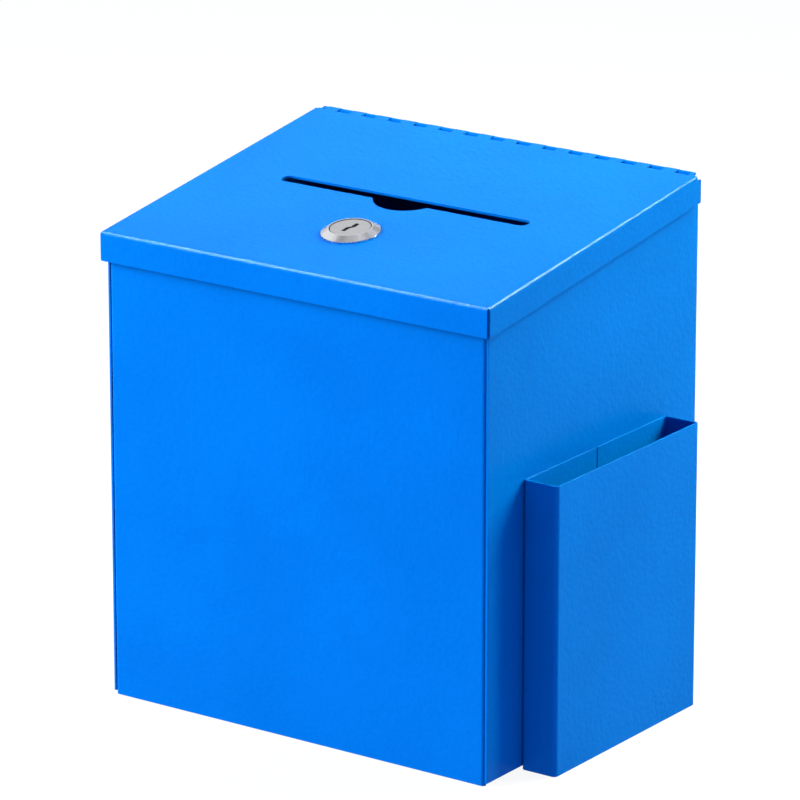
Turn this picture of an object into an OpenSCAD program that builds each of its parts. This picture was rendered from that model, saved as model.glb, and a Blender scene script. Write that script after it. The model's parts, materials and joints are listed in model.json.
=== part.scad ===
// Sheet-steel suggestion and ballot box with a sloping, locking lid and a side pocket for
// cards and a pen. Millimetres. The origin is the centre of the underside, the front faces
// -Y, the pocket is on +X and +Z is up.

/* [Body] */
// Outside width of the box, without the pocket
body_w = 181; // [140:1:260]
// Outside depth of the box
body_d = 147.5; // [125:0.5:220]
// Height of the lid's top face at its front edge
front_h = 192.5; // [150:0.5:320]
// Thickness of the sheet steel
sheet = 1; // [0.8:0.1:1.5]
// Outside radius of the folds at the two rear corners
rear_fold_r = 2.5; // [2:0.1:4]
// Outside radius of the folds at the two front corners
front_fold_r = 1.6; // [1.6:0.1:3]
// Distance by which the side walls' front edges lie behind the front face
edge_set_back = 0.4; // [0:0.1:1]
// Width of the inward flanges on the front panel
front_flange_w = 12; // [8:0.5:20]
// Height of the bottom pan's upturned flanges
pan_flange_h = 12; // [8:0.5:20]
// Height of the side and back walls' lower edges above the underside of the pan
wall_lift = 1.2; // [0:0.1:2]

/* [Lid] */
// Fall of the lid from the hinge to the front, in degrees
lid_slope = 7.7; // [3:0.1:15]
// Height of the lid's front lip and side flanges
lip_h = 11.8; // [8:0.1:18]
// Outside radius of the lid's folds
lid_fold_r = 1.6; // [1.6:0.1:4]
// Gap between the front lip and the front wall
lip_gap = 1.5; // [1:0.1:3]
// Gap between each side flange and its side wall
flange_gap = 1; // [0.8:0.1:3]
// Width of the open seam at the lid's two front corners
corner_seam = 0.9; // [0.8:0.1:2]
// Size of the notch at the lid's two rear corners, where each side fold ends
rear_notch = 2.5; // [1:0.1:3]
// Gap between the lid's underside and the front flange that it rests on
rest_gap = 0.3; // [0.2:0.1:1]
// Gap between the lid's underside and the side walls' top edges
rim_gap = 0.8; // [0.6:0.1:2]

/* [Letter slot] */
// Length of the slot, end to end
slot_l = 118; // [60:1:130]
// Width of the slot
slot_w = 6; // [5:0.5:12]
// Distance of the slot's centre line from the lid's front edge, along the slope
slot_at = 76.5; // [68:0.5:100]
// Radius of the thumb notch in the slot's front edge
notch_r = 15; // [8:0.5:25]
// Depth of the thumb notch
notch_depth = 7.5; // [2:0.5:8]

/* [Hinge] */
// Diameter of the hinge pin
pin_d = 1.6; // [1.2:0.1:2.5]
// Length of one knuckle with its share of the gap
knuckle_l = 6.3; // [5:0.1:15]
// Gap between the end faces of two knuckles
knuckle_gap = 0.3; // [0.2:0.1:0.6]
// Gap between a knuckle and what it turns past
knuckle_relief = 0.35; // [0.3:0.05:0.8]
// Gap in the lid's edge in front of each of the leaf's knuckles
edge_notch = 1.5; // [0.6:0.1:2]
// Height of the hinge leaf inside the back wall
leaf_h = 20; // [12:1:30]

/* [Side pocket] */
// Outside width of the pocket, from front to back
pocket_w = 100; // [60:1:115]
// Outside depth of the pocket, away from the side wall
pocket_d = 16; // [12:0.5:40]
// Height of the pocket
pocket_h = 118; // [60:1:130]
// Outside radius of the pocket's folds
pocket_fold_r = 1.8; // [1.6:0.1:3]
// Width of the seam down the middle of the pocket's back
pocket_seam = 0.6; // [0.3:0.1:2]
// Height of the flanges on the pocket's floor
floor_flange_h = 6; // [4:0.5:10]
// Diameter of the pocket's rivets
rivet_d = 3.2; // [2.4:0.1:4.8]
// Spacing of the rivets from front to back
rivet_span_y = 60; // [40:1:80]
// Spacing of the rivets up and down
rivet_span_z = 60; // [30:1:80]

/* [Lock] */
// Distance of the lock's centre from the lid's front edge, along the slope
lock_at = 40.5; // [38:0.5:46]
// Diameter of the bevelled head
head_d = 23.5; // [23:0.5:28]
// Height of the head above the lid
head_h = 2.3; // [2:0.1:5]
// Diameter of the threaded barrel
barrel_d = 19; // [18.5:0.1:19.5]
// Width of the barrel across its two flats
barrel_flats = 16.6; // [16.4:0.1:17]
// Length of the barrel below the lid's top face
barrel_l = 18; // [16.5:0.5:20]
// Diameter of the plug's round face
plug_face_d = 16; // [15:0.1:17]
// Radial gap between the plug's face and the head
face_gap = 0.4; // [0.1:0.05:0.6]
// Diameter of the plug inside the barrel
plug_d = 13; // [12.5:0.1:13.2]
// Length of the keyway across the plug's face
keyway_l = 8.6; // [6:0.1:8.6]
// Width of the keyway
keyway_w = 1.8; // [1.2:0.1:1.8]
// Number of wafers
wafer_count = 5; // [3:1:5]
// Thickness of a wafer
wafer_t = 0.9; // [0.6:0.1:1.2]
// Travel of the wafers when the key comes out
wafer_travel = 0.6; // [0.4:0.1:0.8]
// Length of the cam from the lock's centre to its tip
cam_l = 32; // [29:0.5:34]
// Width of the cam
cam_w = 13; // [11:0.5:14]
// Thickness of the cam
cam_t = 2; // [1.5:0.1:2.5]
// Reach of the keeper from the front wall
keeper_reach = 14; // [12:0.5:16]
// Width of the keeper
keeper_w = 40; // [24:1:60]

/* [Wall mounting] */
// Diameter of the four screw holes in the back wall
wall_hole_d = 6; // [4:0.5:8]
// Spacing of the wall holes, side to side
wall_span_x = 120; // [80:1:125]
// Spacing of the wall holes, up and down
wall_span_z = 130; // [100:1:135]
// Height of the wall holes' centre above the underside
wall_centre_z = 100; // [85:1:110]

/* [Fits] */
// Gap between welded or bolted faces
seat_gap = 0.05; // [0.02:0.01:0.1]
// Radial gap of pins, plugs and shanks in their holes
run_gap = 0.05; // [0.03:0.01:0.1]
// Gap between pieces that slide or turn past each other
slide_gap = 0.4; // [0.3:0.05:0.8]

/* [Hidden] */
$fn = 64;
// Overlap that joins two solids of one piece
eps = 0.01;
// How far a cut runs past the faces that it goes through
past = 5;
// Radial gap of bolted pieces round what they pass over
loose_gap = 2 * run_gap;

// Box
front_y = -body_d / 2;
back_y = body_d / 2;
inner_w = body_w - 2 * sheet;

// Lid: its frame has the origin at the middle of the front top edge, with Y up the slope
lid_w = body_w + 2 * (flange_gap + sheet);
lid_front_y = front_y - lip_gap - sheet;

// Hinge: the knuckles' tops lie a step below the lid's top face, and the hinge stops short
// of the rounded corners inside the box
knuckle_bore_r = pin_d / 2 + run_gap;
knuckle_r = knuckle_bore_r + sheet;
roll_step = 0.05;
hinge_drop = knuckle_r + roll_step;
hinge_y = back_y - sheet - knuckle_r;
hinge_run = hinge_y - lid_front_y;
hinge_at = (hinge_run - hinge_drop * sin(lid_slope)) / cos(lid_slope);
hinge_z = front_h + hinge_at * sin(lid_slope) - hinge_drop * cos(lid_slope);
hinge_end = 2.2;
knuckle_count = floor((body_w - 2 * hinge_end) / knuckle_l);
hinge_l = knuckle_count * knuckle_l;
back_top_z = hinge_z - knuckle_r - knuckle_relief;

// The lid's sides reach a little past the hinge's axis
side_reach = 0.35;
lid_rear_y = hinge_y + side_reach;

// Pocket and its blind rivets
pocket_x = body_w / 2 + seat_gap;
rivet_z = pocket_h / 2;
rivet_head_d = 2 * rivet_d;
rivet_bulb_d = 1.5 * rivet_d;
rivet_hollow_d = 0.5 * rivet_d;
rivet_head_h = 1.2;

// Lock housing: heights are along the lock's axis, from the lid's top face
rim_w = 0.5;
rim_h = 0.6;
face_drop = 0.15;
face_t = head_h / 2;
recess_r = plug_face_d / 2 + face_gap;
barrel_bore_r = plug_d / 2 + run_gap;

// Wafers, their slots in the plug and the grooves that they spring into
groove_d = wafer_travel + 0.3;
wafer_w = 5.5;
wafer_pitch = 2.4;
wafer_first = 3.6;
wafer_slack = 0.06;
window_w = 2.6;
ear_w = 1.5;
ear_h = 2;
keyway_floor = 2.5;

// Wafer springs
spring_l = 3.4;
spring_r = 0.45;
wire_r = 0.1;
coil_turns = 4;
coil_steps = 10;
coil_rings = coil_turns * coil_steps;
wire_sides = 5;

// Washer, nut, cam and cam screw
washer_t = 0.8;
nut_t = 4;
nut_across = 22;
square_w = 7;
cam_top = barrel_l + slide_gap;
cam_bottom = cam_top + cam_t;
screw_d = 4;
screw_l = 5;
screw_head_d = 7.6;
screw_head_h = 2.4;
cam_washer_d = 11;
cam_washer_t = 0.8;

// Stop on the barrel's end, which the cam's edges meet
stop_h = 1.6;
stop_r = cam_w / 2 + 2 * slide_gap;
stop_inset = 0.4;
stop_edge = asin((cam_w / 2 + slide_gap) / stop_r);

// Keeper
keeper_t = 1.5;
keeper_leg_h = 20;
keeper_gap = 0.5;

blue = [0, 0.47, 0.94];
chromed = [0.8, 0.82, 0.84];
zinc = [0.66, 0.68, 0.7];
brass_yellow = [0.78, 0.62, 0.3];

// Height of the plane that lies a distance below the lid's top face, above the point y
function under_lid_z(y, drop) =
  front_h + (y - lid_front_y) * tan(lid_slope) - drop / cos(lid_slope);

// ---- helpers ----

// Places children in the lid's frame
module in_lid() {
  translate([0, lid_front_y, front_h])
    rotate([lid_slope, 0, 0])
      children();
}

// Places children on the lock's axis, with the lid's top face at zero
module at_lock() {
  in_lid() translate([0, lock_at, 0]) children();
}

// Extrudes a YZ outline along X, centred
module across(w) {
  translate([-w / 2, 0, 0])
    rotate([90, 0, 90])
      linear_extrude(height = w) children();
}

// Removes all that lies above the plane a distance below the lid's top face
module below_lid(drop) {
  difference() {
    children();
    in_lid()
      translate([-body_w, -body_d, -drop])
        cube([2 * body_w, 4 * body_d, 2 * front_h]);
  }
}

// Plan outline that is square at open_y and has two rounded corners at fold_y
module channel_outline(w, open_y, fold_y, r) {
  turn = fold_y > open_y ? 1 : -1;
  translate([-w / 2, min(open_y, fold_y - turn * r)])
    square([w, abs(fold_y - open_y) - r]);
  translate([-w / 2 + r, min(open_y, fold_y)])
    square([w - 2 * r, abs(fold_y - open_y)]);
  for (sx = [-1, 1])
    translate([sx * (w / 2 - r), fold_y - turn * r]) circle(r);
}

// Solid channel along Y, closed below, with its two lower edges rounded
module trough(w, d, h, r) {
  translate([0, d / 2, 0])
    rotate([90, 0, 0])
      linear_extrude(height = d)
        channel_outline(w, h, 0, r);
}

// YZ outline of a fold from a vertical front face to a face parallel with the lid
module fold_outline(face_y, drop, r, rear_y, low_front_z, low_rear_z) {
  centre_y = face_y + r;
  centre_z = under_lid_z(centre_y, drop + r);
  polygon([
    [face_y, low_front_z],
    [face_y, centre_z],
    [centre_y - r * sin(lid_slope), centre_z + r * cos(lid_slope)],
    [rear_y, under_lid_z(rear_y, drop)],
    [rear_y, low_rear_z]
  ]);
  translate([centre_y, centre_z]) circle(r);
}

// Places children at the start of every second knuckle, from the given one
module each_knuckle(first) {
  for (i = [first : 2 : knuckle_count - 1])
    translate([-hinge_l / 2 + i * knuckle_l, 0, 0]) children();
}

// The knuckles that turn with one piece, solid
module knuckles(first) {
  translate([0, hinge_y, hinge_z])
    each_knuckle(first)
      translate([knuckle_gap / 2, 0, 0])
        rotate([0, 90, 0])
          cylinder(r = knuckle_r, h = knuckle_l - knuckle_gap);
}

// A rod on the hinge's axis
module hinge_rod(r, l) {
  translate([-l / 2, hinge_y, hinge_z])
    rotate([0, 90, 0])
      cylinder(r = r, h = l);
}

module at_rivets() {
  for (sy = [-1, 1], sz = [-1, 1])
    translate([body_w / 2, sy * rivet_span_y / 2, rivet_z + sz * rivet_span_z / 2])
      rotate([0, 90, 0]) children();
}

// Holes for the rivets, through the side wall and the back of the pocket
module rivet_holes() {
  at_rivets()
    translate([0, 0, -sheet - past])
      cylinder(r = rivet_d / 2 + run_gap, h = 2 * (sheet + past));
}

// Barrel section with its two flats
module double_d(d, flats) {
  intersection() {
    circle(d = d);
    square([flats, 2 * d], center = true);
  }
}

// ---- box ----

module side_back_wrap() {
  color(blue)
  difference() {
    below_lid(sheet + rim_gap)
      translate([0, 0, wall_lift]) linear_extrude(height = 2 * front_h)
        difference() {
          channel_outline(body_w, front_y + edge_set_back, back_y, rear_fold_r);
          channel_outline(inner_w, front_y - past, back_y - sheet, rear_fold_r - sheet);
        }
    translate([-body_w, hinge_y - knuckle_r - knuckle_relief, back_top_z])
      cube([2 * body_w, body_d, front_h]);
    for (sx = [-1, 1], sz = [-1, 1])
      translate([sx * wall_span_x / 2, back_y + past, wall_centre_z + sz * wall_span_z / 2])
        rotate([90, 0, 0])
          cylinder(d = wall_hole_d, h = sheet + 2 * past);
    rivet_holes();
  }
}

module front_panel() {
  panel_w = inner_w - 2 * seat_gap;
  fold_w = panel_w - 2 * front_fold_r;
  return_y = front_y + front_flange_w;
  color(blue)
  difference() {
    union() {
      below_lid(sheet + rest_gap + front_fold_r)
        linear_extrude(height = 2 * front_h)
          difference() {
            channel_outline(panel_w, return_y, front_y, front_fold_r);
            channel_outline(panel_w - 2 * sheet, return_y + past, front_y + sheet,
              front_fold_r - sheet);
          }
      // The top flange stiffens the edge and carries the lid
      across(fold_w)
        difference() {
          fold_outline(front_y, sheet + rest_gap, front_fold_r, return_y, front_h - lip_h,
            front_h - lip_h);
          fold_outline(front_y + sheet, 2 * sheet + rest_gap, front_fold_r - sheet,
            return_y + past, -past, -past);
        }
    }
    // The side flanges stand on the bottom pan's floor
    translate([-body_w, front_y + sheet + seat_gap, -past])
      cube([2 * body_w, body_d, past + sheet + seat_gap]);
  }
}

module bottom_pan() {
  pan_w = inner_w - 2 * seat_gap;
  pan_y = front_y + sheet + seat_gap;
  pan_d = body_d - 2 * (sheet + seat_gap);
  corner = rear_fold_r + sheet;
  side_from = front_flange_w + sheet;
  color(blue)
  difference() {
    intersection() {
      trough(pan_w, pan_d, pan_flange_h, front_fold_r);
      rotate([0, 0, 90]) trough(pan_d, pan_w, pan_flange_h, front_fold_r);
    }
    intersection() {
      translate([0, 0, sheet])
        trough(pan_w - 2 * sheet, 2 * pan_d, 2 * pan_flange_h, front_fold_r - sheet);
      translate([0, 0, sheet]) rotate([0, 0, 90])
        trough(pan_d - 2 * sheet, 2 * pan_w, 2 * pan_flange_h, front_fold_r - sheet);
    }
    // Corner notches, and room beside the front panel's flanges
    for (sx = [-1, 1]) {
      for (sy = [-1, 1])
        translate([sx * pan_w / 2, sy * pan_d / 2, 0])
          cube([2 * corner, 2 * corner, 4 * pan_flange_h], center = true);
      translate([sx * pan_w / 2, pan_y, sheet + seat_gap + 2 * pan_flange_h])
        cube([2 * corner, 2 * side_from, 4 * pan_flange_h], center = true);
    }
  }
}

// Angle bracket welded inside the front wall, which the cam turns under
module keeper() {
  wall_y = front_y + sheet + seat_gap;
  face_y = wall_y + keeper_t;
  tip_y = wall_y + keeper_reach;
  under = cam_top - keeper_gap;
  over = under - keeper_t;
  low_z = under_lid_z(wall_y, under) - keeper_leg_h;
  color(zinc)
  across(keeper_w)
    polygon([
      [wall_y, low_z],
      [wall_y, under_lid_z(wall_y, over)],
      [tip_y, under_lid_z(tip_y, over)],
      [tip_y, under_lid_z(tip_y, under)],
      [face_y, under_lid_z(face_y, under)],
      [face_y, low_z]
    ]);
}

// ---- hinge ----

module hinge_leaf() {
  leaf_y = hinge_y + knuckle_r - sheet - seat_gap;
  color(blue)
  difference() {
    union() {
      translate([-hinge_l / 2 + knuckle_gap / 2, leaf_y, hinge_z - leaf_h])
        cube([hinge_l - knuckle_gap, sheet, leaf_h]);
      knuckles(1);
    }
    // Openings for the lid's knuckles
    translate([0, leaf_y, hinge_z - knuckle_r - knuckle_relief])
      each_knuckle(0)
        translate([-knuckle_gap / 2, -past, 0])
          cube([knuckle_l + knuckle_gap, sheet + 2 * past, 2 * knuckle_r]);
    hinge_rod(knuckle_bore_r, 2 * body_w);
  }
}

module hinge_pin() {
  color(zinc)
  hinge_rod(pin_d / 2, hinge_l - knuckle_gap);
}

// ---- lid ----

module lid_panel() {
  color(blue)
  difference() {
    union() {
      difference() {
        lid_solid(0);
        lid_solid(sheet);
        lid_corner_seams();
        lid_rear_notches();
        lid_hinge_edge();
      }
      knuckles(0);
    }
    hinge_rod(knuckle_bore_r, 2 * body_w);
    in_lid() translate([0, 0, -past]) linear_extrude(height = 2 * past) slot_outline();
    at_lock()
      translate([0, 0, -past])
        linear_extrude(height = 2 * past)
          double_d(barrel_d + 2 * loose_gap, barrel_flats + 2 * loose_gap);
  }
}

// The lid as a solid block, or its hollow when moved in by the sheet's thickness
module lid_solid(inset) {
  low_z = front_h - lip_h;
  rear_low_z = under_lid_z(lid_rear_y, 0) - lip_h;
  more = inset > 0 ? past : 0;
  intersection() {
    across(lid_w - 2 * inset)
      fold_outline(lid_front_y + inset, inset, lid_fold_r - inset, lid_rear_y + more,
        low_z - more, rear_low_z - more);
    in_lid()
      translate([0, 2 * body_d, -inset])
        rotate([90, 0, 0])
          linear_extrude(height = 4 * body_d)
            channel_outline(lid_w - 2 * inset, -body_d, 0, lid_fold_r - inset);
  }
}

// Open seams at the two front corners
module lid_corner_seams() {
  for (sx = [-1, 1])
    translate([sx * lid_w / 2, lid_front_y, front_h])
      cube([2 * corner_seam, 2 * corner_seam, 4 * lip_h], center = true);
}

// Notches that end the side folds at the two rear corners
module lid_rear_notches() {
  for (sx = [-1, 1])
    translate([sx * lid_w / 2, lid_rear_y, under_lid_z(lid_rear_y, 0)])
      cube(2 * rear_notch, center = true);
}

// Takes the flat sheet back to where the knuckles start, and notches it at the leaf's knuckles
module lid_hinge_edge() {
  in_lid()
    translate([0, hinge_at, -lip_h]) {
      translate([-hinge_l / 2, 0, 0]) cube([hinge_l, past, 2 * lip_h]);
      each_knuckle(1)
        translate([-knuckle_gap, -knuckle_r - edge_notch, 0])
          cube([knuckle_l + 2 * knuckle_gap, past + knuckle_r, 2 * lip_h]);
    }
}

// Letter slot with round ends and a thumb notch in its front edge
module slot_outline() {
  translate([0, slot_at]) {
    square([slot_l - slot_w, slot_w], center = true);
    for (sx = [-1, 1]) translate([sx * (slot_l - slot_w) / 2, 0]) circle(d = slot_w);
    intersection() {
      translate([0, notch_r - notch_depth - slot_w / 2]) circle(notch_r);
      translate([-notch_r, -2 * notch_r]) square([2 * notch_r, 2 * notch_r]);
    }
  }
}

// ---- lock ----

module lock_housing() {
  rim_r = recess_r + rim_w;
  color(chromed)
  at_lock()
  difference() {
    union() {
      translate([0, 0, seat_gap]) cylinder(d = head_d, h = rim_h);
      translate([0, 0, seat_gap + rim_h])
        cylinder(r1 = head_d / 2, r2 = rim_r, h = head_h - rim_h);
      translate([0, 0, -barrel_l])
        linear_extrude(height = barrel_l + rim_h) double_d(barrel_d, barrel_flats);
      // Stop that the cam's edges meet at each end of its quarter turn
      translate([0, 0, -barrel_l - stop_h])
        intersection() {
          rotate([0, 0, stop_edge - 90])
            rotate_extrude(angle = 270 - 2 * stop_edge)
              translate([stop_r, 0]) square([barrel_d, stop_h + rim_h]);
          linear_extrude(height = stop_h + rim_h)
            double_d(barrel_d - stop_inset, barrel_flats - stop_inset);
        }
    }
    // Recess for the plug's face, and its bore
    translate([0, 0, head_h - face_drop - face_t - seat_gap])
      cylinder(r = recess_r, h = past + face_t);
    translate([0, 0, -barrel_l - past]) cylinder(r = barrel_bore_r, h = barrel_l + past + head_h);
    // Crossed grooves that the wafers spring into
    translate([0, 0, -wafer_first - wafer_pitch * (wafer_count - 1) - wafer_t])
      for (turn = [0, 90])
        rotate([0, 0, turn])
          translate([-wafer_w / 2 - slide_gap, -barrel_bore_r - groove_d, -slide_gap])
            cube([
              wafer_w + 2 * slide_gap,
              2 * (barrel_bore_r + groove_d),
              wafer_pitch * (wafer_count - 1) + wafer_t + 2 * slide_gap
            ]);
  }
}

// Washer that keys the barrel to the lid
module spur_washer() {
  color(zinc)
  at_lock()
  translate([0, 0, -sheet - seat_gap - washer_t])
    linear_extrude(height = washer_t)
      difference() {
        circle(d = head_d);
        double_d(barrel_d + 2 * run_gap, barrel_flats + 2 * run_gap);
      }
}

module lock_nut() {
  flare_d = nut_across + 4 * nut_t;
  color(zinc)
  at_lock()
  translate([0, 0, -sheet - 2 * seat_gap - washer_t - nut_t])
    difference() {
      intersection() {
        cylinder(d = nut_across / cos(30), h = nut_t, $fn = 6);
        // Chamfered corners on both faces
        cylinder(d1 = nut_across, d2 = flare_d, h = nut_t);
        cylinder(d1 = flare_d, d2 = nut_across, h = nut_t);
      }
      translate([0, 0, -past]) cylinder(r = barrel_d / 2 + run_gap, h = nut_t + 2 * past);
    }
}

// Crooked keyway, long in the direction that the wafers slide
module keyway_outline() {
  step = keyway_w / 3;
  bend = keyway_l / 10;
  polygon([
    [step - keyway_w / 2, keyway_l / 2],
    [step - keyway_w / 2, bend],
    [-step - keyway_w / 2, -bend],
    [-step - keyway_w / 2, -keyway_l / 2],
    [-step + keyway_w / 2, -keyway_l / 2],
    [-step + keyway_w / 2, -bend],
    [step + keyway_w / 2, bend],
    [step + keyway_w / 2, keyway_l / 2]
  ]);
}

// Outline of a wafer with its ear on +X, both ends round like the plug
module wafer_outline() {
  intersection() {
    square([wafer_w, 2 * plug_d], center = true);
    circle(d = plug_d);
  }
  square([wafer_w / 2 + ear_w, ear_h]);
}

// Outline of the slot that a wafer and its spring lie in
module wafer_slot_outline() {
  square([wafer_w + 2 * wafer_slack, 2 * plug_d], center = true);
  translate([0, -spring_l])
    square([wafer_w / 2 + ear_w + wafer_slack, spring_l + ear_h + wafer_travel + wafer_slack]);
}

// Places children at the top face of each wafer
module at_wafers() {
  at_lock()
    for (i = [0 : wafer_count - 1])
      translate([0, 0, -wafer_first - i * wafer_pitch]) children();
}

module lock_plug() {
  color(chromed)
  difference() {
    at_lock()
      difference() {
        union() {
          translate([0, 0, head_h - face_drop - face_t])
            cylinder(d = plug_face_d, h = face_t);
          translate([0, 0, -barrel_l - slide_gap / 2])
            cylinder(d = plug_d, h = barrel_l + slide_gap / 2 + head_h - face_drop - eps);
          translate([-square_w / 2, -square_w / 2, -cam_bottom + seat_gap])
            cube([square_w, square_w, cam_t + slide_gap]);
        }
        translate([0, 0, -barrel_l + keyway_floor])
          linear_extrude(height = 2 * barrel_l) keyway_outline();
        translate([0, 0, -cam_bottom - past])
          cylinder(r = screw_d / 2 + run_gap, h = past + screw_l);
      }
    at_wafers()
      translate([0, 0, -wafer_t - wafer_slack])
        linear_extrude(height = wafer_t + 2 * wafer_slack) wafer_slot_outline();
  }
}

module lock_wafers() {
  color(brass_yellow)
  at_wafers()
  translate([0, 0, -wafer_t])
    linear_extrude(height = wafer_t)
      difference() {
        wafer_outline();
        square([window_w, keyway_l + wafer_travel], center = true);
      }
}

// Point on the wire of a coil spring that stands along Y: ring i, at angle a round the wire
function coil_point(i, a) =
  let (turn = 360 * i / coil_steps, r = spring_r - wire_r + wire_r * cos(a))
  [
    r * cos(turn),
    (spring_l - 4 * wire_r) * i / coil_rings + wire_r * sin(a),
    r * sin(turn)
  ];

module coil_spring() {
  points = [
    for (i = [0 : coil_rings], k = [0 : wire_sides - 1]) coil_point(i, 360 * k / wire_sides)
  ];
  walls = [
    for (i = [0 : coil_rings - 1], k = [0 : wire_sides - 1])
      let (n = (k + 1) % wire_sides, a = i * wire_sides, b = a + wire_sides)
        each [[a + k, b + k, b + n], [a + k, b + n, a + n]]
  ];
  ends = [
    [for (k = [0 : wire_sides - 1]) k],
    [for (k = [wire_sides - 1 : -1 : 0]) coil_rings * wire_sides + k]
  ];
  polyhedron(points, concat(walls, ends));
}

// One spring under each wafer's ear
module wafer_springs() {
  color(zinc)
  at_wafers()
  translate([wafer_w / 2 + ear_w / 2, 2 * wire_r - spring_l, -wafer_t / 2])
    coil_spring();
}

module lock_cam() {
  color(zinc)
  at_lock()
  translate([0, 0, -cam_bottom])
    linear_extrude(height = cam_t)
      difference() {
        union() {
          circle(d = cam_w);
          translate([-cam_l + cam_w / 2, -cam_w / 2]) square([cam_l - cam_w / 2, cam_w]);
          translate([-cam_l + cam_w / 2, 0]) circle(d = cam_w);
        }
        square(square_w + 2 * run_gap, center = true);
      }
}

module cam_washer() {
  color(zinc)
  at_lock()
  translate([0, 0, -cam_bottom - seat_gap - cam_washer_t])
    difference() {
      cylinder(d = cam_washer_d, h = cam_washer_t);
      translate([0, 0, -past]) cylinder(r = screw_d / 2 + loose_gap, h = 2 * past);
    }
}

module cam_screw() {
  head_top = -cam_bottom - 2 * seat_gap - cam_washer_t;
  recess_w = screw_d / 4;
  color(zinc)
  at_lock()
  difference() {
    union() {
      translate([0, 0, head_top - screw_head_h]) cylinder(d = screw_head_d, h = screw_head_h);
      translate([0, 0, head_top - eps]) cylinder(d = screw_d, h = screw_l);
    }
    for (turn = [0, 90])
      translate([0, 0, head_top - screw_head_h])
        rotate([0, 0, turn])
          cube([screw_d, recess_w, screw_head_h], center = true);
  }
}

// ---- side pocket ----

// Sleeve folded from one sheet, its seam in the middle of the back
module pocket_sleeve() {
  color(blue)
  difference() {
    translate([pocket_x, 0, 0])
      linear_extrude(height = pocket_h)
        difference() {
          pocket_outline(0, pocket_fold_r);
          pocket_outline(sheet, pocket_fold_r - sheet);
        }
    translate([pocket_x - past, -pocket_seam / 2, -past])
      cube([past + 2 * sheet, pocket_seam, pocket_h + 2 * past]);
    rivet_holes();
  }
}

// Plan outline of the pocket against the side wall, moved in by a distance
module pocket_outline(inset, r) {
  for (low = [0, 1])
    translate([inset + low * r, inset - pocket_w / 2 + (1 - low) * r])
      square([pocket_d - 2 * (inset + low * r), pocket_w - 2 * (inset + (1 - low) * r)]);
  for (x = [inset + r, pocket_d - inset - r], sy = [-1, 1])
    translate([x, sy * (pocket_w / 2 - inset - r)]) circle(r);
}

module pocket_floor() {
  floor_w = pocket_d - 2 * (sheet + seat_gap);
  floor_l = pocket_w - 2 * (sheet + seat_gap + pocket_fold_r);
  color(blue)
  translate([pocket_x + pocket_d / 2, 0, 0])
    difference() {
      trough(floor_w, floor_l, floor_flange_h, front_fold_r);
      translate([0, 0, sheet])
        trough(floor_w - 2 * sheet, 2 * floor_l, 2 * floor_flange_h, front_fold_r - sheet);
    }
}

module pocket_rivets() {
  grip = 2 * sheet + seat_gap;
  color(zinc)
  at_rivets()
  translate([0, 0, -sheet]) {
    difference() {
      union() {
        translate([0, 0, -rivet_head_h]) cylinder(d = rivet_d, h = grip + 2 * rivet_head_h);
        // Domed head in the pocket, and the bulb inside the box
        translate([0, 0, grip + seat_gap])
          intersection() {
            cylinder(d = rivet_head_d, h = rivet_head_h);
            translate([0, 0, rivet_head_h - rivet_head_d]) sphere(r = rivet_head_d);
          }
        translate([0, 0, -rivet_head_h - seat_gap]) cylinder(d = rivet_bulb_d, h = rivet_head_h);
      }
      translate([0, 0, grip + rivet_head_h / 2]) cylinder(d = rivet_hollow_d, h = past);
    }
  }
}

side_back_wrap();
front_panel();
bottom_pan();
keeper();
hinge_leaf();
hinge_pin();
pocket_sleeve();
pocket_floor();
pocket_rivets();
lid_panel();
lock_housing();
spur_washer();
lock_nut();
lock_plug();
lock_wafers();
wafer_springs();
lock_cam();
cam_washer();
cam_screw();
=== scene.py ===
"""Sheet-steel suggestion box: folded and rolled sheets, a chromed cam lock and their finishes."""

import json
import math

import bmesh
import bpy
from mathutils import Matrix, Quaternion, Vector


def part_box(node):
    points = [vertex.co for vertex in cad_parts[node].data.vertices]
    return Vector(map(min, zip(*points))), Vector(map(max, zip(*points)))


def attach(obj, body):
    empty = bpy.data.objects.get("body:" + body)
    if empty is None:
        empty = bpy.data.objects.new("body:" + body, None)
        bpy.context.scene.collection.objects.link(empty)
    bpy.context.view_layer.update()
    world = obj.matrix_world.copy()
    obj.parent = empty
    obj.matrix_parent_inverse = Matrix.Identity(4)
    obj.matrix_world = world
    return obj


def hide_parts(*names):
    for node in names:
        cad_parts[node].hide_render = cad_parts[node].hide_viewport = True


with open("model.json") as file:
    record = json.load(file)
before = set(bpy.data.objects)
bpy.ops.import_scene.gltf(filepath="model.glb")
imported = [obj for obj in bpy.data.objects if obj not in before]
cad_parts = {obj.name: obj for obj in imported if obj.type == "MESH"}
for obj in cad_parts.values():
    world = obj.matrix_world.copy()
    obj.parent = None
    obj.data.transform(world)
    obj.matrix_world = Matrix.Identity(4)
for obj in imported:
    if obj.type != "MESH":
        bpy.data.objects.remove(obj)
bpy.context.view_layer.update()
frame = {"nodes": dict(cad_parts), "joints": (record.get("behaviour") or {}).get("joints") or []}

MM = 0.001

# ---- sizes of the sheet pieces, as the model has them ----

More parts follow.
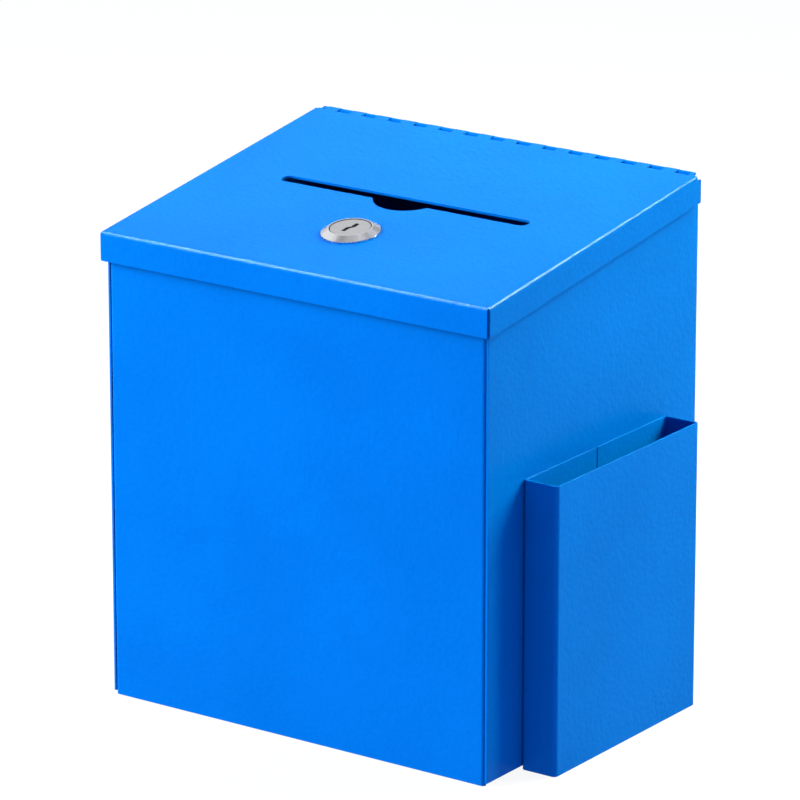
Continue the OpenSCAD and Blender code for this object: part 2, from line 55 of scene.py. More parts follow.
SHEET = 1 * MM
REAR_FOLD_R = 2.5 * MM
FRONT_FOLD_R = 1.6 * MM
FRONT_FLANGE_W = 12 * MM
PAN_FLANGE_H = 12 * MM
LIP_H = 11.8 * MM
LID_FOLD_R = 1.6 * MM
CORNER_SEAM = 0.9 * MM
REAR_NOTCH = 2.5 * MM
REST_GAP = 0.3 * MM
RIM_GAP = 0.8 * MM
SEAT_GAP = 0.05 * MM
SLOT_L, SLOT_W, SLOT_AT = 118 * MM, 6 * MM, 76.5 * MM
NOTCH_R, NOTCH_DEPTH = 15 * MM, 7.5 * MM
BARREL_R = 9.6 * MM
KNUCKLE_L, KNUCKLE_GAP = 6.3 * MM, 0.3 * MM
KNUCKLE_R = 1.85 * MM
ROLL_STEP = 0.05 * MM
KNUCKLE_RELIEF = 0.35 * MM
EDGE_NOTCH = 1.5 * MM
POCKET_FOLD_R = 1.8 * MM
POCKET_SEAM = 0.6 * MM
RECESS_R = 8.5 * MM
WALL_HOLE_D = 6 * MM
WALL_SPAN_X, WALL_SPAN_Z, WALL_CENTRE_Z = 120 * MM, 130 * MM, 100 * MM

FOLD_STEPS = 8
CURL = math.radians(275)
CURL_STEPS = 22
HOLE_SIDES = 40
EASE = 0.14 * MM
WRAP_EASE = 0.1 * MM
HARDWARE_EASE = 0.1 * MM
EASE_STEPS = 2
EASE_FROM = math.radians(18)
FLAT_WEIGHT = 80

# Two places are the same when they are this close
SAME = 0.001 * MM
CUT_TOLERANCE = 0.0001 * MM
# Points this close are joined: in a sheet, in any other new mesh and in a copied node
SHEET_MERGE = 0.02 * MM
MESH_MERGE = 0.001 * MM
NODE_MERGE = 0.002 * MM
# Faces of a copied node that turn by less than this are one flat face
NODE_FLAT = math.radians(0.5)
# A point inside the box, which its walls face away from
INSIDE = (0, 0, 0.1)

wrap_lo, wrap_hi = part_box("side_back_wrap")
front_lo, front_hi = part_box("front_panel")
pan_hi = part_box("bottom_pan")[1]
pocket_lo, pocket_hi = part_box("pocket_sleeve")
lid_lo, lid_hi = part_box("lid_panel")
leaf_lo, leaf_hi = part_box("hinge_leaf")
pin_lo, pin_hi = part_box("hinge_pin")
joints = {joint["name"]: joint for joint in frame["joints"]}
hinge_at = Vector(joints["lid_hinge"]["pos_m"])
lock_at = Vector(joints["lock_turn"]["pos_m"])
lock_axis = Vector(joints["lock_turn"]["axis"])

SLOPE = math.atan2(-lock_axis.y, lock_axis.z)
FRONT_H = lid_lo.z + LIP_H
lid_frame = Matrix.Translation((0, lid_lo.y, FRONT_H)) @ Matrix.Rotation(SLOPE, 4, "X")
up_slope = Vector((0, math.cos(SLOPE), math.sin(SLOPE)))
lid_normal = Vector((0, -math.sin(SLOPE), math.cos(SLOPE)))
hinge_reach = (lid_frame.inverted() @ hinge_at).y
lock_reach = (lid_frame.inverted() @ lock_at).y
lid_rear = hinge_reach + ROLL_STEP
knuckle_count = round((pin_hi.x - pin_lo.x + KNUCKLE_GAP) / KNUCKLE_L)
first_knuckle = -knuckle_count * KNUCKLE_L / 2


def under_lid(y, drop):
    """Height of the plane a distance below the lid's top face, above the point y."""
    return FRONT_H + (y - lid_lo.y) * math.tan(SLOPE) - drop / math.cos(SLOPE)


# ---- sheet-metal helpers ----


def wire(bm, points, closed=False):
    """Joins points into a line of edges."""
    verts = [bm.verts.new(p) for p in points]
    ends = verts[1:] + verts[:1] if closed else verts[1:]
    return [bm.edges.new(pair) for pair in zip(verts, ends)]


def ring(bm, matrix, radius):
    """A closed ring of edges, in the XY plane of the matrix."""
    made = bmesh.ops.create_circle(
        bm, cap_ends=False, radius=radius, segments=HOLE_SIDES, matrix=matrix
    )
    return list({edge for vert in made["verts"] for edge in vert.link_edges})


def drawn(bm, edges, vector):
    """Draws edges out into new faces, and returns the edges that end up outermost."""
    made = bmesh.ops.extrude_edge_only(bm, edges=edges)["geom"]
    verts = {item for item in made if isinstance(item, bmesh.types.BMVert)}
    bmesh.ops.translate(bm, verts=list(verts), vec=vector)
    return [
        item
        for item in made
        if isinstance(item, bmesh.types.BMEdge) and all(vert in verts for vert in item.verts)
    ]


def picked(bm, test):
    """Edges whose two ends both pass a test on their place."""
    return [edge for edge in bm.edges if all(test(vert.co) for vert in edge.verts)]


def near(a, b):
    """Whether two measures are the same."""
    return abs(a - b) < SAME


def folded(bm, edges, radius):
    """Turns sharp folds into bends of a given outer radius."""
    bmesh.ops.bevel(
        bm,
        geom=edges,
        offset=radius,
        offset_type="OFFSET",
        segments=FOLD_STEPS,
        profile=0.5,
        affect="EDGES",
        material=-1,
    )


def split(bm, point, normal, test=None):
    """Splits the faces whose middles pass a test along a plane."""
    faces = [face for face in bm.faces if test is None or test(face.calc_center_median())]
    edges = {edge for face in faces for edge in face.edges}
    verts = {vert for face in faces for vert in face.verts}
    bmesh.ops.bisect_plane(
        bm,
        geom=list(verts) + list(edges) + faces,
        dist=CUT_TOLERANCE,
        plane_co=point,
        plane_no=normal,
    )


def dropped(bm, test):
    """Removes the faces whose middles pass a test."""
    faces = [face for face in bm.faces if test(face.calc_center_median())]
    bmesh.ops.delete(bm, geom=faces, context="FACES")


def pierced(bm, face, rings):
    """Opens holes with given rims in a flat face."""
    outline = face.edges[:]
    normal = face.normal.copy()
    bmesh.ops.delete(bm, geom=[face], context="FACES_ONLY")
    filled(bm, outline + rings, normal)


def filled(bm, edges, normal):
    """Fills the area between an outline and the holes in it."""
    bmesh.ops.triangle_fill(bm, use_beauty=True, edges=edges, normal=normal)


def curled(bm, edges, centre, angle):
    """Rolls the edges of a sheet round the hinge pin."""
    verts = {vert for edge in edges for vert in edge.verts}
    bmesh.ops.spin(
        bm,
        geom=list(verts) + edges,
        cent=centre,
        axis=(1, 0, 0),
        angle=angle,
        steps=CURL_STEPS,
        use_merge=False,
    )


def finished(name, bm, body, material, node, thickness=None, ease=EASE, inside=None):
    """Makes the piece that stands for a node: thickness, eased edges, finish and body."""
    merge = SHEET_MERGE if thickness else MESH_MERGE
    bmesh.ops.remove_doubles(bm, verts=bm.verts[:], dist=merge)
    if inside is not None:
        # The faces of a sheet look away from the inside, and it thickens towards it
        bmesh.ops.recalc_face_normals(bm, faces=bm.faces[:])
        widest = max(bm.faces, key=lambda face: face.calc_area())
        if widest.normal.dot(widest.calc_center_median() - Vector(inside)) < 0:
            bmesh.ops.reverse_faces(bm, faces=bm.faces[:])
    mesh = bpy.data.meshes.new(name)
    bm.to_mesh(mesh)
    bm.free()
    mesh.shade_smooth()
    piece = bpy.data.objects.new(name, mesh)
    bpy.context.scene.collection.objects.link(piece)
    if thickness:
        wall = piece.modifiers.new("sheet", "SOLIDIFY")
        wall.thickness = thickness
        wall.offset = -1
        wall.use_even_offset = True
        wall.use_quality_normals = True
    if ease:
        edge = piece.modifiers.new("eased edges", "BEVEL")
        edge.width = ease
        edge.segments = EASE_STEPS
        edge.limit_method = "ANGLE"
        edge.angle_limit = EASE_FROM
        edge.use_clamp_overlap = True
    flat = piece.modifiers.new("flat faces", "WEIGHTED_NORMAL")
    flat.keep_sharp = True
    flat.weight = FLAT_WEIGHT
    mesh.materials.append(material)
    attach(piece, body)
    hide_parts(node)
    return piece


def eased(node, body, material):
    """A copy of a node with its sharp edges eased, which stands for it."""
    bm = bmesh.new()
    bm.from_mesh(frame["nodes"][node].data)
    bmesh.ops.remove_doubles(bm, verts=bm.verts[:], dist=NODE_MERGE)
    bmesh.ops.dissolve_limit(bm, angle_limit=NODE_FLAT, verts=bm.verts[:], edges=bm.edges[:])
    return finished(node + "_piece", bm, body, material, node, ease=HARDWARE_EASE)


# ---- finishes ----


class Value:
    """A socket in a finish. Arithmetic on it adds Math nodes."""

    def __init__(self, finish, socket):
        self.finish = finish
        self.socket = socket

    def _math(self, operation, *values):
        inputs = dict(enumerate(values))
        return self.finish.node("Math", {"operation": operation}, inputs)

    def __add__(self, other):
        return self._math("ADD", self, other)

    def __rsub__(self, other):
        return self._math("SUBTRACT", other, self)

    def __mul__(self, other):
        return self._math("MULTIPLY", self, other)


class Finish:
    """A material, built from one shader."""

    def __init__(self, name):
        self.material = bpy.data.materials.new(name)
        self.material.use_nodes = True
        self.tree = self.material.node_tree
        self.tree.nodes.clear()
        self.place = self.node("TexCoord", out="Object")

    def node(self, kind, settings=None, inputs=None, out=0):
        """Adds a node: its type, its settings, then the values or links of its sockets."""
        made = self.tree.nodes.new("ShaderNode" + kind)
        for key, value in (settings or {}).items():
            if key == "stops":
                ramp = made.color_ramp
                while len(ramp.elements) < len(value):
                    ramp.elements.new(1)
                for stop, (at, colour) in zip(ramp.elements, value):
                    stop.position, stop.color = at, colour
            else:
                setattr(made, key, value)
        for key, value in (inputs or {}).items():
            if isinstance(value, Value):
                self.tree.links.new(value.socket, made.inputs[key])
            else:
                made.inputs[key].default_value = value
        return Value(self, made.outputs[out]) if made.outputs else None

    def noise(self, scale, detail=2.0, roughness=0.5, place=None):
        """Noise with so many bumps to the metre."""
        place = place or self.place
        inputs = {"Vector": place, "Scale": scale, "Detail": detail, "Roughness": roughness}
        return self.node("TexNoise", None, inputs)

    def levels(self, value, low, high, to_low=0.0, to_high=1.0):
        """Stretches a range of values to another, and holds it at the ends."""
        sockets = {0: value, 1: low, 2: high, 3: to_low, 4: to_high}
        return self.node("MapRange", {"clamp": True}, sockets)

    def mix(self, factor, first, second):
        """Mixes two colours."""
        sockets = {0: factor, 6: first, 7: second}
        return self.node("Mix", {"data_type": "RGBA"}, sockets, out=2)

    def bump(self, height, distance, strength):
        """Relief of a given depth in metres."""
        inputs = {"Height": height, "Distance": distance, "Strength": strength}
        return self.node("Bump", None, inputs)

    def shader(self, inputs):
        """The surface's shader, wired to the output. Returns the material."""
        surface = self.node("BsdfPrincipled", None, inputs)
        self.node("OutputMaterial", None, {"Surface": surface})
        return self.material


def colour(red, green, blue):
    return (red, green, blue, 1.0)


def powder_coat():
    """Satin blue powder coat with a fine orange peel."""
    coat = Finish("blue_powder_coat")
    peel = coat.noise(560, detail=1.0, roughness=0.4)
    waves = coat.noise(130, detail=1.0, roughness=0.4)
    cloud = coat.noise(16, detail=3.0, roughness=0.55)
    speck = coat.noise(2600, detail=1.0)
    deep = colour(0.0, 0.080, 0.34)
    light = colour(0.0, 0.092, 0.385)
    tone = coat.levels(cloud * 0.6 + peel * 0.25 + speck * 0.15, 0.36, 0.64)
    height = peel + waves * 0.6
    return coat.shader(
        {
            "Base Color": coat.mix(tone, deep, light),
            "Roughness": coat.levels(peel * 0.5 + cloud * 0.5, 0.3, 0.7, 0.22, 0.26),
            "Specular IOR Level": 0.014,
            "Specular Tint": colour(0.4, 0.85, 1.0),
            "Normal": coat.bump(height, 0.16 * MM, 0.8),
        }
    )


RINGS_PER_M = 3000


def turned_chrome():
    """Satin chrome with turning marks round the lock's axis, a duller face and painted shade in its
    recesses.
    """
    chrome = Finish("satin_chrome")
    centred = chrome.node(
        "Mapping",
        {"vector_type": "TEXTURE"},
        {"Vector": chrome.place, "Location": lock_at, "Rotation": (SLOPE, 0, 0)},
    )
    flat = chrome.node("VectorMath", {"operation": "MULTIPLY"}, {0: centred, 1: (1, 1, 0)})
    radius = chrome.node("VectorMath", {"operation": "LENGTH"}, {0: flat}, out="Value")
    height = chrome.node("SeparateXYZ", None, {0: centred}, out="Z")
    rings = chrome.node(
        "TexNoise", {"noise_dimensions": "1D"}, {"W": radius * RINGS_PER_M, "Scale": 1.0}
    )
    scuffs = chrome.noise(700, detail=3.0)
    cloud = chrome.noise(220, detail=2.0)
    inside = chrome.levels(radius, RECESS_R, RECESS_R + 0.1 * MM, 1.0, 0.0)
    sunk = chrome.levels(height, face_height - 0.25 * MM, face_height - 0.1 * MM, 1.0, 0.0)
    above = chrome.levels(height, 0.3 * MM, 0.5 * MM)
    # Painted shade: below the face and inside the recess, the keyway and the gap round the plug are
    # coloured near black, matte and not metallic
    painted_recess_shade = inside * sunk * above
    bright = chrome.mix(cloud, colour(0.62, 0.63, 0.65), colour(0.8, 0.81, 0.83))
    plate = chrome.mix(inside * 0.6, bright, colour(0.36, 0.37, 0.39))
    # The painted shade turns the chrome plate near black in the recesses
    return chrome.shader(
        {
            "Base Color": chrome.mix(painted_recess_shade, plate, colour(0.012, 0.012, 0.014)),
            "Metallic": 1.0 - painted_recess_shade,
            "Roughness": chrome.levels(scuffs * 0.6 + rings * 0.4 + painted_recess_shade, 0.3, 1.3, 0.18, 0.6),
            "Normal": chrome.bump(rings, 0.01 * MM, 0.15),
        }
    )


def bright_zinc():
    """Bright zinc plate with a faint crystalline bloom."""
    zinc = Finish("bright_zinc")
    cells = zinc.node("TexVoronoi", {"feature": "F1"}, {"Vector": zinc.place, "Scale": 420.0})
    cloud = zinc.noise(90, detail=3.0)
    tone = zinc.levels(cells * 0.35 + cloud * 0.65, 0.2, 0.75)
    return zinc.shader(
        {
            "Base Color": zinc.mix(tone, colour(0.4, 0.42, 0.44), colour(0.62, 0.63, 0.6)),
            "Metallic": 1.0,
            "Roughness": zinc.levels(cells, 0.0, 0.6, 0.28, 0.42),
            "Normal": zinc.bump(zinc.noise(900), 0.01 * MM, 0.4),
        }
    )


def stamped_brass():
    """Brass wafers with the grain of rolled sheet."""
    brass = Finish("stamped_brass")
    stretched = brass.node(
        "Mapping", None, {"Vector": brass.place, "Scale": (300.0, 3000.0, 3000.0)}
    )
    grain = brass.noise(1.0, detail=3.0, place=stretched)
    return brass.shader(
        {
            "Base Color": brass.mix(grain, colour(0.5, 0.31, 0.09), colour(0.72, 0.5, 0.2)),
            "Metallic": 1.0,
            "Roughness": brass.levels(grain, 0.3, 0.7, 0.25, 0.4),
            "Normal": brass.bump(grain, 0.01 * MM, 0.3),
        }
    )


def rivet_aluminium():
    """Tumbled aluminium of the blind rivets."""
    rivet = Finish("tumbled_aluminium")
    dents = rivet.noise(1100, detail=2.0)
    return rivet.shader(
        {
            "Base Color": rivet.mix(dents, colour(0.55, 0.56, 0.57), colour(0.74, 0.75, 0.76)),
            "Metallic": 1.0,
            "Roughness": rivet.levels(dents, 0.3, 0.7, 0.32, 0.48),
            "Normal": rivet.bump(dents, 0.02 * MM, 0.4),
        }
    )


plug_mesh = frame["nodes"]["lock_plug"].data
face_height = max((vert.co - lock_at).dot(lock_axis) for vert in plug_mesh.vertices)

blue = powder_coat()
chrome = turned_chrome()
zinc = bright_zinc()
brass = stamped_brass()
aluminium = rivet_aluminium()

# ---- box ----


def side_back_wrap():
    """Both side walls and the back, one sheet folded round the rear corners."""
    bm = bmesh.new()
    x, front, back = wrap_hi.x, wrap_lo.y, wrap_hi.y
    low = wrap_lo.z
    plan = wire(bm, [(-x, front, low), (-x, back, low), (x, back, low), (x, front, low)])
    drawn(bm, plan, (0, 0, lid_hi.z))
    corners = [e for e in bm.edges if all(near(v.co.y, back) for v in e.verts)]
    folded(bm, [e for e in corners if near(e.verts[0].co.x, e.verts[1].co.x)], REAR_FOLD_R)
    rim = Vector((0, lid_lo.y, under_lid(lid_lo.y, SHEET + RIM_GAP)))
    split(bm, rim, lid_normal)
    dropped(bm, lambda middle: (middle - rim).dot(lid_normal) > 0)
    # Room for the hinge along the top of the back
    clear_y = hinge_at.y - KNUCKLE_R - KNUCKLE_RELIEF
    clear_z = hinge_at.z - KNUCKLE_R - KNUCKLE_RELIEF
    split(bm, (0, clear_y, 0), (0, 1, 0))
    split(bm, (0, 0, clear_z), (0, 0, 1), lambda middle: middle.y > clear_y)
    dropped(bm, lambda middle: middle.y > clear_y and middle.z > clear_z)
    wall = max(
        (face for face in bm.faces if near(face.calc_center_median().y, back)),
        key=lambda face: face.calc_area(),
    )
    rims = []
    for side in (-1, 1):
        for row in (-1, 1):
            at = (side * WALL_SPAN_X / 2, back, WALL_CENTRE_Z + row * WALL_SPAN_Z / 2)
            upright = Matrix.Translation(at) @ Matrix.Rotation(math.pi / 2, 4, "X")
            rims += ring(bm, upright, WALL_HOLE_D / 2)
    pierced(bm, wall, rims)
    return bm


def front_panel():
    """The front wall, its side flanges and the return along its top."""
    bm = bmesh.new()
    x, y = front_hi.x, front_lo.y
    top = under_lid(y, SHEET + REST_GAP)
    shoulder = top - 2 * FRONT_FOLD_R - SHEET
    inner = x - FRONT_FOLD_R - SHEET
    sides = [(x, 0), (x, shoulder), (inner, shoulder), (inner, top)]
    outline = sides + [(-across, z) for across, z in reversed(sides)]
    edges = wire(bm, [(across, y, z) for across, z in outline], closed=True)
    bmesh.ops.edgeloop_fill(bm, edges=edges)
    right, lip, left = edges[0], edges[3], edges[6]
    drawn(bm, [right, left], (0, FRONT_FLANGE_W, 0))
    drawn(bm, [lip], (0, FRONT_FLANGE_W, FRONT_FLANGE_W * math.tan(SLOPE)))
    folded(bm, [right, left], FRONT_FOLD_R)
    folded(bm, [lip], FRONT_FOLD_R * math.tan((math.pi / 2 - SLOPE) / 2))
    # The side flanges stand on the pan's floor
    flange_y, flange_z = y + FRONT_FOLD_R, SHEET + SEAT_GAP
    split(
        bm, (0, 0, flange_z), (0, 0, 1), lambda middle: middle.y > flange_y and middle.z < shoulder
    )
    dropped(bm, lambda middle: middle.y > flange_y and middle.z < flange_z)
    return bm


def bottom_pan():
    """The floor, its corners notched, with four upturned flanges."""
    bm = bmesh.new()
    x, y, notch = pan_hi.x, pan_hi.y, REAR_FOLD_R + SHEET
    quarter = [(x, y - notch), (x - notch, y - notch), (x - notch, y)]
    corners = [(1, 1, 1), (-1, 1, -1), (-1, -1, 1), (1, -1, -1)]
    outline = [
        (sx * across, sy * along, 0)
        for sx, sy, order in corners
        for across, along in quarter[::order]
    ]
    edges = wire(bm, outline, closed=True)
    bmesh.ops.edgeloop_fill(bm, edges=edges)
    bends = [edges[2], edges[5], edges[8], edges[11]]
    drawn(bm, bends, (0, 0, PAN_FLANGE_H))
    folded(bm, bends, FRONT_FOLD_R)
    # Room beside the front panel's flanges
    clear_y = -y + FRONT_FLANGE_W + SHEET
    clear_z = SHEET + SEAT_GAP

    def beside(middle):
        return middle.y < clear_y and abs(middle.x) > x - notch

    split(bm, (0, clear_y, 0), (0, 1, 0))
    split(bm, (0, 0, clear_z), (0, 0, 1), beside)
    dropped(bm, lambda middle: beside(middle) and middle.z > clear_z)
    return bm


def pocket_sleeve():
    """The pocket's four walls, folded from one sheet with a seam down the back."""
    bm = bmesh.new()
    back, face, y = pocket_lo.x, pocket_hi.x, pocket_hi.y
    half = [(back, POCKET_SEAM / 2), (back, y), (face, y)]
    plan = half + [(across, -along) for across, along in reversed(half)]
    drawn(bm, wire(bm, [(across, along, 0) for across, along in plan]), (0, 0, pocket_hi.z))
    upright = [e for e in bm.edges if near(e.verts[0].co.z, 0) != near(e.verts[1].co.z, 0)]
    folded(bm, [e for e in upright if near(abs(e.verts[0].co.y), y)], POCKET_FOLD_R)
    return bm


def hinge_leaf():
    """The leaf inside the back wall, with its rolled knuckles."""
    bm = bmesh.new()
    skin_y = hinge_at.y + KNUCKLE_R - SEAT_GAP
    notch_z = hinge_at.z - KNUCKLE_R - KNUCKLE_RELIEF
    tabs = tab_edges(1)
    line = [(leaf_lo.x, notch_z)]
    for low, high in tabs:
        line += [(low, notch_z), (low, hinge_at.z), (high, hinge_at.z), (high, notch_z)]
    if line[-1][0] < leaf_hi.x - KNUCKLE_GAP:
        line.append((leaf_hi.x, notch_z))
    outline = line + [(line[-1][0], leaf_lo.z), (leaf_lo.x, leaf_lo.z)]
    edges = wire(bm, [(x, skin_y, z) for x, z in outline], closed=True)
    filled(bm, edges, (0, 1, 0))
    curled(bm, tops(bm, tabs, lambda p: near(p.z, hinge_at.z)), hinge_at, CURL)
    return bm


# ---- lid ----


def tab_edges(first):
    """Where every second knuckle starts and ends along the hinge."""
    starts = [first_knuckle + i * KNUCKLE_L for i in range(first, knuckle_count, 2)]
    return [(x + KNUCKLE_GAP / 2, x + KNUCKLE_L - KNUCKLE_GAP / 2) for x in starts]


def tops(bm, tabs, test):
    """The free edges of the tabs, which roll round the pin."""
    lows = {round(low, 6) for low, high in tabs}
    found = picked(bm, test)
    return [e for e in found if round(min(v.co.x for v in e.verts), 6) in lows]


def slot_rim(bm):
    """Rim of the letter slot: round ends and a thumb notch in its front edge."""
    half, r = (SLOT_L - SLOT_W) / 2, SLOT_W / 2
    centre_y = SLOT_AT + NOTCH_R - NOTCH_DEPTH - r
    reach = math.acos((centre_y - SLOT_AT + r) / NOTCH_R)
    steps = HOLE_SIDES // 2
    points = []
    for x, start in ((half, -math.pi / 2), (-half, math.pi / 2)):
        for i in range(steps + 1):
            turn = start + math.pi * i / steps
            points.append((x + r * math.cos(turn), SLOT_AT + r * math.sin(turn)))
    for i in range(steps + 1):
        turn = -math.pi / 2 - reach + 2 * reach * i / steps
        points.append((NOTCH_R * math.cos(turn), centre_y + NOTCH_R * math.sin(turn)))
    return wire(bm, [(x, y, 0) for x, y in points], closed=True)


def lid_panel():
    """The lid: a plate, its lip and side flanges folded down, and knuckles rolled from its edge."""
    bm = bmesh.new()
    x = lid_hi.x
    tabs = tab_edges(0)
    notch_y = hinge_reach - KNUCKLE_R - EDGE_NOTCH
    end = -first_knuckle + KNUCKLE_GAP
    across, along = x - REAR_NOTCH, lid_rear - REAR_NOTCH
    corner = [(x, along), (across, along), (across, lid_rear), (end, lid_rear), (end, notch_y)]
    line = [(-a, b) for a, b in corner]
    for low, high in tabs:
        line += [(low, notch_y), (low, hinge_reach), (high, hinge_reach), (high, notch_y)]
    line += corner[::-1] + [(x, 0), (-x, 0)]
    edges = wire(bm, [(a, b, 0) for a, b in line], closed=True)
    rims = slot_rim(bm) + ring(bm, Matrix.Translation((0, lock_reach, 0)), BARREL_R)
    filled(bm, edges + rims, (0, 0, 1))
    # The flat plate and the tabs stay separate faces, so the plate shades as flat
    split(bm, (0, notch_y, 0), (0, 1, 0))
    # That cut is taken back at the sides, so each side flange folds down from one whole edge
    cut_ends = {v for v in bm.verts if near(abs(v.co.x), x) and near(v.co.y, notch_y)}
    cuts = [e for e in bm.edges if not e.is_boundary and not cut_ends.isdisjoint(e.verts)]
    bmesh.ops.dissolve_edges(bm, edges=cuts, use_verts=True)
    rim = picked(bm, lambda p: near(abs(p.x), x) or near(p.y, 0))
    skirt = [edge for edge in rim if edge.is_boundary]
    bmesh.ops.transform(bm, matrix=lid_frame, verts=bm.verts[:])
    rolled = tops(bm, tabs, lambda p: near((p - hinge_at).dot(up_slope), 0))
    curled(bm, rolled, hinge_at, -CURL)
    drawn(bm, skirt, (0, 0, -LIP_H))
    folded(bm, skirt, LID_FOLD_R)
    # The side flanges run on below the notches at the two rear corners
    notch_foot = lid_frame @ Vector((0, 0, -REAR_NOTCH))
    split(bm, notch_foot, lid_normal, lambda middle: near(abs(middle.x), x))
    rear = (lid_frame @ Vector((0, along, 0))).y
    low = under_lid(rear, REAR_NOTCH)
    tails = picked(bm, lambda p: near(abs(p.x), x) and near(p.y, rear) and p.z < low + EASE)
    drawn(bm, tails, up_slope * REAR_NOTCH)
    # Open seams at the two front corners
    side, front = x - CORNER_SEAM, lid_lo.y + CORNER_SEAM
    fold_x, fold_y = x - LID_FOLD_R, lid_lo.y + LID_FOLD_R
    split(bm, (0, front, 0), (0, 1, 0), lambda middle: abs(middle.x) > fold_x)
    for sign in (-1, 1):
        split(bm, (sign * side, 0, 0), (1, 0, 0), lambda middle: middle.y < fold_y)
    dropped(bm, lambda middle: abs(middle.x) > side and middle.y < front)
    return bm


# Name, what makes it, the node it stands for, its body, the width of its eased edges and a point
# on the sheet's inner side. The pan's edges meet other sheets and stay square.
SHEETS = [
    ("wrap_sheet", side_back_wrap, "side_back_wrap", "box", WRAP_EASE, INSIDE),
    ("front_sheet", front_panel, "front_panel", "box", EASE, INSIDE),
    ("pan_sheet", bottom_pan, "bottom_pan", "box", 0, INSIDE),
    ("pocket_sheet", pocket_sleeve, "pocket_sleeve", "box", EASE, (pocket_lo + pocket_hi) / 2),
    ("leaf_sheet", hinge_leaf, "hinge_leaf", "box", EASE, (0, 0, leaf_lo.z)),
    ("lid_sheet", lid_panel, "lid_panel", "lid", EASE, INSIDE),
]
for name, make, node, body, ease, inside in SHEETS:
    finished(name, make(), body, blue, node, SHEET, ease, inside)

# ---- hardware ----

HARDWARE = [
    ("pocket_floor", "box", "blue_powder_coat", blue),
    ("keeper", "box", "zinc_steel", zinc),
    ("pocket_rivets", "box", "rivet_aluminium", aluminium),
    ("lock_housing", "lid", "lock_chrome", chrome),
    ("spur_washer", "lid", "zinc_steel", zinc),
    ("lock_nut", "lid", "zinc_steel", zinc),
    ("lock_plug", "plug", "lock_chrome", chrome),
    ("lock_cam", "plug", "zinc_steel", zinc),
    ("cam_washer", "plug", "zinc_steel", zinc),
    ("cam_screw", "plug", "zinc_steel", zinc),
]
for node, body, slot, material in HARDWARE:
    eased(node, body, material)

for node, material in (("hinge_pin", zinc), ("lock_wafers", brass), ("wafer_springs", zinc)):
    for holder in frame["nodes"][node].material_slots:
        holder.material = material

# ---- studio ----

AIM = Vector((-0.0022, 0, 0.1202))
CAMERA_AT = (35.3, 17.45, 2.32)
CAMERA_LENS, CAMERA_SENSOR, CAMERA_REACH = 263.4, 36, 100
FLOOR_HALF = 30
PAPER_WHITE = (0.92, 0.92, 0.92)
METAL_GREY = (0.35, 0.35, 0.36)
SHADE_BLUE = (0.1, 0.38, 1.05)


def towards(azimuth, elevation):
    """Direction from the object: azimuth 0 is in front of it, 90 is on its pocket side."""
    turn, rise = math.radians(azimuth), math.radians(elevation)
    return Vector(
        (math.sin(turn) * math.cos(rise), -math.cos(turn) * math.cos(rise), math.sin(rise))
    )


def placed(name, data, azimuth, elevation, distance, roll=0):
    """Stands a camera or light round the object, turned to face it and rolled about that line."""
    stood = bpy.data.objects.new(name, data)
    bpy.context.scene.collection.objects.link(stood)
    back = towards(azimuth, elevation)
    stood.location = AIM + back * distance
    facing = back.to_track_quat("Z", "Y")
    stood.rotation_euler = (facing @ Quaternion((0, 0, 1), math.radians(roll))).to_euler()
    return stood


camera = bpy.data.cameras.new("camera")
camera.lens = CAMERA_LENS
camera.sensor_width = CAMERA_SENSOR
camera.clip_end = CAMERA_REACH
bpy.context.scene.camera = placed("camera", camera, *CAMERA_AT)

# Name, azimuth, elevation, roll, distance, width, height, power, tint and what it is for:
# shade lights only the diffuse paint, gloss is only mirrored, both does both, and edges is only
# mirrored by the large sheets, where it brings out their folds
LIGHTS = [
    ("key_softbox", -52, 24, 0, 1.5, 1.1, 1.1, 82, (1, 1, 0.9), "shade"),
    ("side_softbox", 143, 36, 0, 0.85, 0.5, 0.5, 30, (1, 1, 0.62), "shade"),
    ("front_edge_strip", -61, 51, 54.5, 1.3, 0.25, 1.1, 300, (0.7, 0.9, 1), "edges"),
    ("side_edge_strip", 142, 38, -31.6, 1.3, 0.25, 0.9, 245, (0.7, 0.9, 1), "edges"),
    ("left_panel", -98, 42, 0, 1.5, 1.1, 1.1, 2.8, (1, 1, 1), "gloss"),
    ("overhead_panel", -150, 76, 0, 1.5, 0.8, 0.8, 1.2, (0.9, 0.92, 1), "gloss"),
    ("right_panel", 180, 52, 0, 1.5, 0.6, 0.6, 0.6, (0.8, 0.85, 1), "gloss"),
    ("rear_panel", 220, 32, 0, 1.2, 0.9, 0.9, 1.6, (1, 1, 1), "both"),
]
EDGED = ("lid_sheet", "wrap_sheet", "front_sheet", "pocket_sheet")
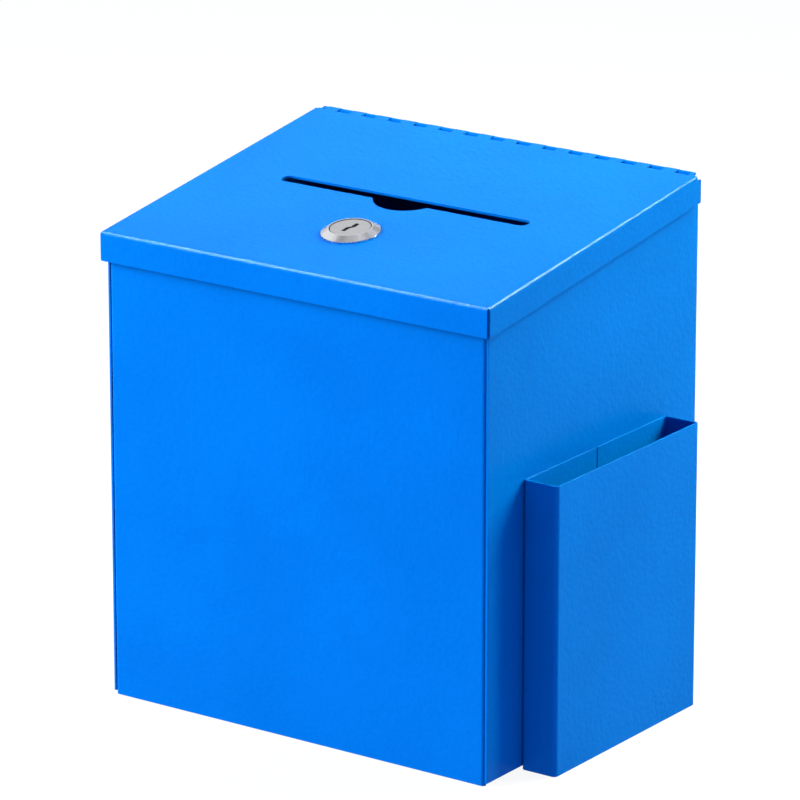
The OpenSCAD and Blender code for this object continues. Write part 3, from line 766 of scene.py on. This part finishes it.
edged = bpy.data.collections.new("edged")
for name in EDGED:
    edged.objects.link(bpy.data.objects[name])
for name, azimuth, elevation, roll, distance, width, height, power, tint, use in LIGHTS:
    lamp = bpy.data.lights.new(name, "AREA")
    lamp.shape = "RECTANGLE"
    lamp.size, lamp.size_y = width, height
    lamp.energy = power
    lamp.color = tint
    stood = placed(name, lamp, azimuth, elevation, distance, roll)
    stood.visible_glossy = use != "shade"
    stood.visible_diffuse = use in ("shade", "both")
    if use == "edges":
        stood.light_linking.receiver_collection = edged

world = bpy.data.worlds.new("studio")
bpy.context.scene.world = world
world.use_nodes = True
sky = world.node_tree
rays = sky.nodes.new("ShaderNodeLightPath")


def seen_by(ray, tint, rest):
    """Gives one kind of ray a tint of its own, and the rest a colour or a socket's colour."""
    blend = sky.nodes.new("ShaderNodeMix")
    blend.data_type = "RGBA"
    sky.links.new(rays.outputs[ray], blend.inputs[0])
    if isinstance(rest, bpy.types.NodeSocket):
        sky.links.new(rest, blend.inputs[6])
    else:
        blend.inputs[6].default_value = rest
    blend.inputs[7].default_value = tint
    return blend.outputs[2]


# Bluish fill on painted faces, pale behind the object and neutral grey in bright metal
surround = seen_by("Is Diffuse Ray", colour(*SHADE_BLUE), colour(*METAL_GREY))
surround = seen_by("Is Camera Ray", colour(*PAPER_WHITE), surround)
sky.links.new(surround, sky.nodes["Background"].inputs["Color"])
bpy.context.scene.view_settings.view_transform = "Standard"

bm = bmesh.new()
bmesh.ops.create_grid(bm, x_segments=1, y_segments=1, size=FLOOR_HALF)
floor_mesh = bpy.data.meshes.new("floor")
bm.to_mesh(floor_mesh)
bm.free()
floor = bpy.data.objects.new("floor", floor_mesh)
bpy.context.scene.collection.objects.link(floor)
pale = Finish("pale_floor")
floor_mesh.materials.append(
    pale.shader(
        {
            "Base Color": colour(0.05, 0.05, 0.05),
            "Roughness": 0.9,
            "Specular IOR Level": 0.0,
            "Emission Color": colour(*PAPER_WHITE),
            "Emission Strength": 1.0,
        }
    )
)
